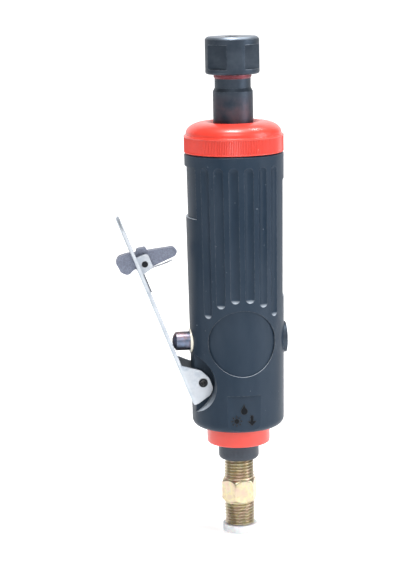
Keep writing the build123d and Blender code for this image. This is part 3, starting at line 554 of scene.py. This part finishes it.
def smooth(mesh, angle=35.0):
    for face in mesh.polygons:
        face.use_smooth = True
    mesh.set_sharp_from_angle(angle=math.radians(angle))


def close_mesh(made, name, angle=35.0):
    """Turns the faces outwards and gives the finished mesh."""
    bmesh.ops.recalc_face_normals(made, faces=made.faces)
    mesh = bpy.data.meshes.new(name)
    made.to_mesh(mesh)
    made.free()
    smooth(mesh, angle)
    return mesh


def turned_mesh(name, rows, count, first=0.0, angle=35.0):
    """Closed ring about the spindle axis. A row is (radius, height); its radius may depend on the turn."""
    made = bmesh.new()
    loops = []
    for radius, height in rows:
        loop = []
        for index in range(count):
            turn = first + 2 * math.pi * index / count
            reach = radius(turn) if callable(radius) else radius
            loop.append(made.verts.new((reach * math.cos(turn), reach * math.sin(turn), height)))
        loops.append(loop)
    for near, far in zip(loops, loops[1:] + loops[:1]):
        for index in range(count):
            after = (index + 1) % count
            made.faces.new((near[index], near[after], far[after], far[index]))
    return close_mesh(made, name, angle)


def wire_mesh(name, points, radius):
    """Round wire with closed ends through a row of points."""
    line = bpy.data.curves.new(name, "CURVE")
    line.dimensions = "3D"
    line.bevel_depth = radius
    line.bevel_resolution = 4
    line.use_fill_caps = True
    spline = line.splines.new("POLY")
    spline.points.add(len(points) - 1)
    for point, place in zip(spline.points, points):
        point.co = (*place, 1.0)
    holder = bpy.data.objects.new(name, line)
    mesh = bpy.data.meshes.new_from_object(holder)
    bpy.data.objects.remove(holder)
    made = bmesh.new()
    made.from_mesh(mesh)
    bmesh.ops.remove_doubles(made, verts=made.verts, dist=1e-7)
    return close_mesh(made, name, 50.0)


def plate_mesh(name, outlines, depth, bevel, to_place):
    """Flat shapes raised by depth with softened rims; to_place maps (across, up, out) to the frame."""
    made = bmesh.new()
    for outline in outlines:
        low = [made.verts.new((x, y, 0.0)) for x, y in outline]
        top = made.faces.new(low)
        raised = bmesh.ops.extrude_face_region(made, geom=[top])
        moved = [v for v in raised["geom"] if isinstance(v, bmesh.types.BMVert)]
        bmesh.ops.translate(made, verts=moved, vec=(0, 0, depth))
    rims = [e for e in made.edges if all(v.co.z > depth / 2 for v in e.verts) and len(e.link_faces) == 2]
    bmesh.ops.bevel(made, geom=rims, offset=bevel, segments=2, profile=0.6, affect="EDGES")
    bmesh.ops.triangulate(made, faces=[f for f in made.faces if len(f.verts) > 4])
    for vert in made.verts:
        vert.co = to_place(*vert.co)
    return close_mesh(made, name, 40.0)


def add_piece(name, mesh, body, slot, finish=None, instead_of=()):
    """A new piece that rides on a body and may stand for CAD nodes."""
    mesh.materials.append(finishes[finish or slot])
    piece = bpy.data.objects.new(name, mesh)
    bpy.context.scene.collection.objects.link(piece)
    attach(piece, body)
    if instead_of:
        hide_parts(*instead_of)
    return piece


def helix(centre, axis, start, radius, rise, turns, steps=28):
    """Points of a coil about an axis through centre; start is a direction across the axis."""
    along = Vector(axis).normalized()
    first = Vector(start).normalized()
    second = along.cross(first)
    count = round(turns * steps)
    points = []
    for index in range(count + 1):
        share = index / count
        turn = 2 * math.pi * turns * share
        out = math.cos(turn) * first + math.sin(turn) * second
        points.append(Vector(centre) + along * rise * share + radius * out)
    return points


# ---- pieces


class GRINDER_OT_finishes(bpy.types.Operator):
    """Give every fixed node the finish of its slot"""

    bl_idname = "grinder.finishes"
    bl_label = "Finish the fixed parts"

    def execute(self, context):
        finishes.update(make_finishes())
        for name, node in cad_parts.items():
            slot = node.data.materials[0].name
            if slot not in finishes:
                raise RuntimeError(f"{name} has the slot {slot}, which has no finish")
            node.data.materials[0] = finishes[OWN_FINISHES.get(name, slot)]
        return {"FINISHED"}


class GRINDER_OT_front_cap(bpy.types.Operator):
    """Make the front cap with its dome, lip and band of grip ridges"""

    bl_idname = "grinder.front_cap"
    bl_label = "Make the front cap"

    def execute(self, context):
        shape = settings().shape
        low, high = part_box("front_cap")
        band = high.x
        crest = high.z
        foot = low.z
        lip = crest - 5.75 * MM
        skirt = crest - 13.4 * MM
        mouth = 9.6 * MM
        dome_start, dome_reach, dome_drop, dome_steps = 12.8 * MM, 8.45 * MM, 5.0 * MM, 18
        band_steps = 8
        spigot = 18.35 * MM
        inside = 16.0 * MM
        throat = 11.2 * MM
        throat_top, throat_foot = crest - 2.8 * MM, crest - 10.3 * MM
        ridges = shape.cap_ridges

        def ridged(depth):
            return lambda turn: band - 0.12 * MM - depth * (0.5 - 0.5 * math.cos(ridges * turn))

        rows = [
            (mouth, throat_top),
            (mouth, crest - 1.55 * MM),
            (mouth + 0.15 * MM, crest - 1.30 * MM),
            (dome_start - 1.25 * MM, crest - 0.28 * MM),
            (dome_start - 0.8 * MM, crest - 0.08 * MM),
            (dome_start, crest),
        ]
        for step in range(1, dome_steps + 1):
            turn = math.pi / 2 * step / dome_steps
            rows.append((dome_start + dome_reach * math.sin(turn), crest - dome_drop * (1 - math.cos(turn))))
        rows += [
            (band - 0.95 * MM, lip + 0.28 * MM),
            (band - 0.88 * MM, lip + 0.08 * MM),
            (band - 0.55 * MM, lip + 0.02 * MM),
            (band - 0.16 * MM, lip - 0.06 * MM),
            (band - 0.02 * MM, lip - 0.22 * MM),
            (band, lip - 0.42 * MM),
            (band - 0.03 * MM, lip - 0.58 * MM),
            (ridged(0.0), lip - 0.66 * MM),
            (ridged(shape.cap_ridge_depth * 0.9), lip - 0.80 * MM),
        ]
        for step in range(band_steps + 1):
            share = step / band_steps
            rows.append((ridged(shape.cap_ridge_depth), lip - 0.95 * MM + share * (skirt - lip + 1.55 * MM)))
        rows += [
            (ridged(shape.cap_ridge_depth * 0.8), skirt + 0.46 * MM),
            (ridged(0.0), skirt + 0.34 * MM),
            (band - 0.10 * MM, skirt + 0.24 * MM),
            (band - 0.32 * MM, skirt),
            (spigot, skirt),
            (spigot, foot),
            (inside + 0.05 * MM, foot),
            (inside, foot + 1.0 * MM),
            (inside, throat_foot),
            (throat, throat_foot),
            (throat, throat_top),
        ]
        mesh = turned_mesh("ridged_cap", rows, 4 * ridges, angle=42.0)
        add_piece("ridged_cap", mesh, "housing", "red_plastic", instead_of=["front_cap"])
        return {"FINISHED"}


class GRINDER_OT_panel_marks(bpy.types.Operator):
    """Mould the oiling marks on the flat panel: a drop, a sun and an arrow to the inlet, coloured near-black
    as painted shade
    """

    bl_idname = "grinder.panel_marks"
    bl_label = "Make the oiling marks"

    def execute(self, context):
        panel = -19.45 * MM
        sunk = 0.05 * MM
        height = settings().shape.mark_height

        def to_place(x, y, z):
            return Vector((x, panel + sunk - z, y))

        def circle(x, y, radius, count):
            turns = [2 * math.pi * i / count for i in range(count)]
            return [((x + radius * math.cos(t)) * MM, (y + radius * math.sin(t)) * MM) for t in turns]

        def drop(x, y, radius, tip):
            """A round belly, open over its top 80 degrees, and hollow flanks up to the tip."""
            belly_steps, shoulder, hollow = 24, 50, 1.35
            points = []
            for index in range(belly_steps + 1):
                turn = math.radians(-180 - shoulder + (180 + 2 * shoulder) * index / belly_steps)
                points.append(((x + radius * math.cos(turn)) * MM, (y + radius * math.sin(turn)) * MM))
            neck = math.radians(shoulder)
            for side, share in ((1, 0.3), (1, 0.6), (0, 1.0), (-1, 0.6), (-1, 0.3)):
                width = radius * math.cos(neck) * (1 - share) ** hollow
                points.append(((x + side * width) * MM, (y + radius * math.sin(neck) + share * tip) * MM))
            return points

        def bar(x, y, long, wide, degrees):
            turn = math.radians(degrees)
            along = Vector((math.cos(turn), math.sin(turn)))
            side = Vector((-along.y, along.x))
            middle = Vector((x, y))
            corners = [(1, -1), (1, 1), (-1, 1), (-1, -1)]
            return [tuple((middle + along * long / 2 * a + side * wide / 2 * b) * MM) for a, b in corners]

        upper_row, row = -164.3, -168.7
        sun = -3.4
        rays, ray_reach, ray_length, ray_width = 8, 2.05, 0.95, 0.50
        outlines = [drop(0.0, upper_row, 1.55, 2.2), circle(sun, row, 1.15, 24)]
        for index in range(rays):
            degrees = 360 / rays * index
            across, up = math.cos(math.radians(degrees)), math.sin(math.radians(degrees))
            place = (sun + ray_reach * across, row + ray_reach * up)
            outlines.append(bar(*place, ray_length, ray_width, degrees))
        arrow = [(2.7, 2.4), (4.1, 2.4), (4.1, -0.2), (5.4, -0.2), (3.4, -2.5), (1.4, -0.2), (2.7, -0.2)]
        outlines.append([(x * MM, (row + y) * MM) for x, y in arrow])
        mesh = plate_mesh("oiling_marks", outlines, height + sunk, 0.07 * MM, to_place)
        # the marks carry the near-black finish of painted shade
        add_piece("oiling_marks", mesh, "housing", "grip", "marks")
        return {"FINISHED"}


class GRINDER_OT_nipple(bpy.types.Operator):
    """Cut the hose nipple: two pipe threads and a hexagon between them"""

    bl_idname = "grinder.nipple"
    bl_label = "Make the hose nipple"

    def execute(self, context):
        shape = settings().shape
        low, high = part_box("hose_nipple")
        crest = 6.85 * MM
        bore = 4.4 * MM
        flat = 7.2 * MM
        corner = flat / math.cos(math.radians(30))
        hex_top = high.z - 19.3 * MM
        hex_foot = hex_top - 10.3 * MM
        end_bevel = 0.5 * MM
        slope = 1 / 32  # radius that a pipe thread loses along its length
        pitch = shape.thread_pitch
        corner_turn = math.radians(10)

        def threaded(height, share):
            taper = slope * max(height - hex_top, hex_foot - height)

            def radius(turn):
                phase = (height / pitch - turn / (2 * math.pi)) % 1.0
                cut = min(1.0, max(0.0, abs(phase - 0.5) * 2.5 - 0.12))
                return crest - taper - shape.thread_depth * share * (1 - cut)

            return radius

        def hexagonal(limit):
            def radius(turn):
                across = (turn - corner_turn) % math.radians(60) - math.radians(30)
                return min(flat / math.cos(across), limit)

            return radius

        def thread_rows(top, foot, fade_top, fade_foot):
            count = max(2, round((top - foot) / (pitch / 10)))
            made = []
            for index in range(count + 1):
                height = top + (foot - top) * index / count
                share = min(1.0, (top - height) / fade_top, (height - foot) / fade_foot)
                made.append((threaded(height, max(0.0, share)), height))
            return made

        top_end = crest - slope * (high.z - hex_top) - 0.1 * MM
        foot_end = crest - slope * (hex_foot - low.z) - 0.1 * MM
        rows = [(top_end - end_bevel, high.z), (top_end, high.z - end_bevel)]
        rows += thread_rows(high.z - 0.55 * MM, hex_top + 0.25 * MM, 0.3 * MM, 0.7 * MM)
        rows += [
            (crest - 0.15 * MM, hex_top + 0.1 * MM),
            (crest - 0.15 * MM, hex_top),
            (hexagonal(flat - 0.1 * MM), hex_top),
            (hexagonal(flat + 0.25 * MM), hex_top - 0.35 * MM),
            (hexagonal(flat + 0.7 * MM), hex_top - 0.85 * MM),
            (hexagonal(corner), hex_top - 1.45 * MM),
            (hexagonal(corner), (hex_top + hex_foot) / 2),
            (hexagonal(corner), hex_foot + 1.45 * MM),
            (hexagonal(flat + 0.7 * MM), hex_foot + 0.85 * MM),
            (hexagonal(flat + 0.25 * MM), hex_foot + 0.35 * MM),
            (hexagonal(flat - 0.1 * MM), hex_foot),
            (crest - 0.15 * MM, hex_foot),
            (crest - 0.15 * MM, hex_foot - 0.1 * MM),
        ]
        rows += thread_rows(hex_foot - 0.25 * MM, low.z + 0.55 * MM, 0.7 * MM, 0.3 * MM)
        rows += [(foot_end, low.z + end_bevel), (foot_end - end_bevel, low.z)]
        rows += [(bore, low.z), (bore, high.z)]
        mesh = turned_mesh("threaded_nipple", rows, 96, corner_turn, 38.0)
        add_piece("threaded_nipple", mesh, "housing", "yellow_zinc", instead_of=["hose_nipple"])
        return {"FINISHED"}


class GRINDER_OT_springs(bpy.types.Operator):
    """Wind the valve's return spring and the lock's torsion spring"""

    bl_idname = "grinder.springs"
    bl_label = "Make the springs"

    def execute(self, context):
        low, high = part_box("valve_spring")
        wire = 0.45 * MM
        radius = high.y - wire
        middle = (low + high) / 2
        start = Vector((high.x - wire, middle.y, middle.z))
        length_wound = high.x - low.x - 2 * wire
        turns = settings().shape.valve_spring_turns + 2
        closed = 4 * wire / length_wound
        points = []
        for place in helix(start, (-1, 0, 0), (0, 0, 1), radius, length_wound, turns, 24):
            share = (start.x - place.x) / length_wound
            eased = share
            if share < 1.2 / turns:
                eased = share * closed * turns / 2.4
            points.append(Vector((start.x - eased * length_wound, place.y, place.z)))
        mesh = wire_mesh("coiled_valve_spring", points, wire)
        replaced = ["valve_spring"]
        spring = add_piece("coiled_valve_spring", mesh, "housing", "spring_steel", instead_of=replaced)
        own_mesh(spring)

        low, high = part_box("lock_pin")
        pin = (low + high) / 2
        slope = math.radians(21)
        down = Vector((math.sin(slope), 0, -math.cos(slope)))
        inward = Vector((math.cos(slope), 0, math.sin(slope)))
        wire = 0.33 * MM
        radius = 2.1 * MM
        near = Vector((pin.x, -3.05 * MM, pin.z))
        coil = helix(near, (0, 1, 0), -inward, radius, 1.0 * MM, 1.5, 28)
        leg = [coil[0] + down * reach * MM for reach in (13, 12.4, 6)]
        leg[0] = leg[0] + inward * 0.12 * MM
        mesh = wire_mesh("lock_spring_coil", leg + coil, wire)
        add_piece("lock_spring_coil", mesh, "lever", "spring_steel", instead_of=["lock_spring"])

        side = Vector((0, -2.28 * MM - pin.y, 0))
        bend = [(-1.5, -1.75), (0.3, -2.28), (4.0, -1.75), (8.0, -0.55)]
        bend += [(11.0, 0.55), (11.9, 1.15), (12.3, 0.9)]
        leg = [pin + side + Vector((x * MM, 0, z * MM)) for x, z in bend]
        mesh = wire_mesh("lock_spring_leg", leg, wire)
        add_piece("lock_spring_leg", mesh, "lock_lever", "spring_steel")
        return {"FINISHED"}


class GRINDER_OT_stage(bpy.types.Operator):
    """Set the pale floor, the soft lights and the camera"""

    bl_idname = "grinder.stage"
    bl_label = "Set the stage"

    def floor(self):
        level = cad_box[0].z - 0.2 * MM
        reach, sweep, height, half_width, steps = 3.0, 1.5, 4.5, 5.0, 12
        made = bmesh.new()
        profile = [(-reach, 0.0), (reach, 0.0)]
        for step in range(1, steps + 1):
            turn = math.pi / 2 * step / steps
            profile.append((reach + sweep * math.sin(turn), sweep * (1 - math.cos(turn))))
        profile.append((reach + sweep, height))
        sides = []
        for x in (-half_width, half_width):
            sides.append([made.verts.new((x, y, level + z)) for y, z in profile])
        for index in range(len(profile) - 1):
            made.faces.new((sides[0][index], sides[1][index], sides[1][index + 1], sides[0][index + 1]))
        mesh = bpy.data.meshes.new("floor")
        made.to_mesh(mesh)
        made.free()
        smooth(mesh, 60)
        f = Finish("pale_floor", Specular_IOR_Level=0.2)
        paper = f.noise(30, 3)
        f.set(Base_Color=f.blend(paper, (0.90, 0.90, 0.90), (0.94, 0.94, 0.94)), Roughness=0.75 + 0.1 * paper)
        glow = f.between(f.reach(), 0.15, 1.4, 0.38, 0.82)
        f.set(Emission_Color=f.blend(glow, (0.0, 0.0, 0.0), (1.0, 1.0, 1.0)))
        f.shader.inputs["Emission Strength"].default_value = 1.0
        mesh.materials.append(f.material)
        plane = bpy.data.objects.new("floor", mesh)
        bpy.context.scene.collection.objects.link(plane)

    def light(self, name, place, target, size, power, shade):
        lamp = bpy.data.lights.new(name, "AREA")
        lamp.shape = "RECTANGLE"
        lamp.size, lamp.size_y = size
        lamp.energy = power
        lamp.color = shade
        holder = bpy.data.objects.new(name, lamp)
        bpy.context.scene.collection.objects.link(holder)
        holder.location = place
        holder.rotation_mode = "QUATERNION"
        holder.rotation_quaternion = (Vector(target) - Vector(place)).to_track_quat("-Z", "Y")

    def camera(self, stage):
        eye = Vector((-0.1212, -0.8625, 0.0465))
        target = Vector((-0.0160, 0.00216, -0.1105))
        forward = (target - eye).normalized()
        right = forward.cross(Vector((0, 0, 1))).normalized()
        up = right.cross(forward)
        rolled_up = up * math.cos(stage.roll) + right * math.sin(stage.roll)
        rolled_right = right * math.cos(stage.roll) - up * math.sin(stage.roll)
        view = bpy.data.cameras.new("camera")
        view.lens = stage.lens
        view.sensor_width = 36.0
        view.clip_start = 0.01
        holder = bpy.data.objects.new("camera", view)
        bpy.context.scene.collection.objects.link(holder)
        turn = Matrix((rolled_right, rolled_up, -forward)).transposed()
        holder.matrix_world = Matrix.Translation(eye) @ turn.to_4x4()
        bpy.context.scene.camera = holder

    def execute(self, context):
        scene = context.scene
        stage = settings().stage
        self.floor()
        middle = (0.0, 0.0, -0.10)
        warm, cool, white = (1.0, 0.99, 0.98), (0.93, 0.96, 1.0), (1.0, 1.0, 1.0)
        self.light("key_light", (-0.16, -0.80, 0.46), middle, (0.62, 0.42), stage.key, warm)
        self.light("side_light", (0.78, -0.42, 0.10), middle, (0.40, 0.80), stage.side, cool)
        self.light("top_light", (-0.02, -0.14, 0.75), middle, (0.26, 0.20), stage.top, white)
        self.light("back_light", (0.40, 0.16, 0.72), middle, (0.15, 0.15), stage.top * 0.30, white)
        world = bpy.data.worlds.new("surround")
        world.use_nodes = True
        back = world.node_tree.nodes["Background"]
        back.inputs["Color"].default_value = (0.95, 0.97, 1.0, 1.0)
        back.inputs["Strength"].default_value = stage.surround
        scene.world = world
        scene.view_settings.view_transform = "Standard"
        self.camera(stage)
        return {"FINISHED"}


OPERATORS = (
    GRINDER_OT_finishes,
    GRINDER_OT_front_cap,
    GRINDER_OT_panel_marks,
    GRINDER_OT_nipple,
    GRINDER_OT_springs,
    GRINDER_OT_stage,
)


class GRINDER_PT_panel(bpy.types.Panel):
    bl_idname = "GRINDER_PT_panel"
    bl_label = "Die Grinder"
    bl_space_type = "VIEW_3D"
    bl_region_type = "UI"
    bl_category = "Grinder"

    def draw(self, context):
        for group in (settings().shape, settings().colours, settings().stage):
            box = self.layout.box()
            for name in group.__annotations__:
                box.prop(group, name)
        for made in OPERATORS:
            self.layout.operator(made.bl_idname)


CLASSES = (ShapeSettings, ColourSettings, StageSettings, GrinderSettings, *OPERATORS, GRINDER_PT_panel)


def register():
    for made in CLASSES:
        bpy.utils.register_class(made)
    bpy.types.Scene.grinder = PointerProperty(type=GrinderSettings)


def unregister():
    del bpy.types.Scene.grinder
    for made in reversed(CLASSES):
        bpy.utils.unregister_class(made)


def main():
    register()
    bpy.ops.grinder.finishes()
    bpy.ops.grinder.front_cap()
    bpy.ops.grinder.panel_marks()
    bpy.ops.grinder.nipple()
    bpy.ops.grinder.springs()
    bpy.ops.grinder.stage()


if __name__ == "__main__":
    main()
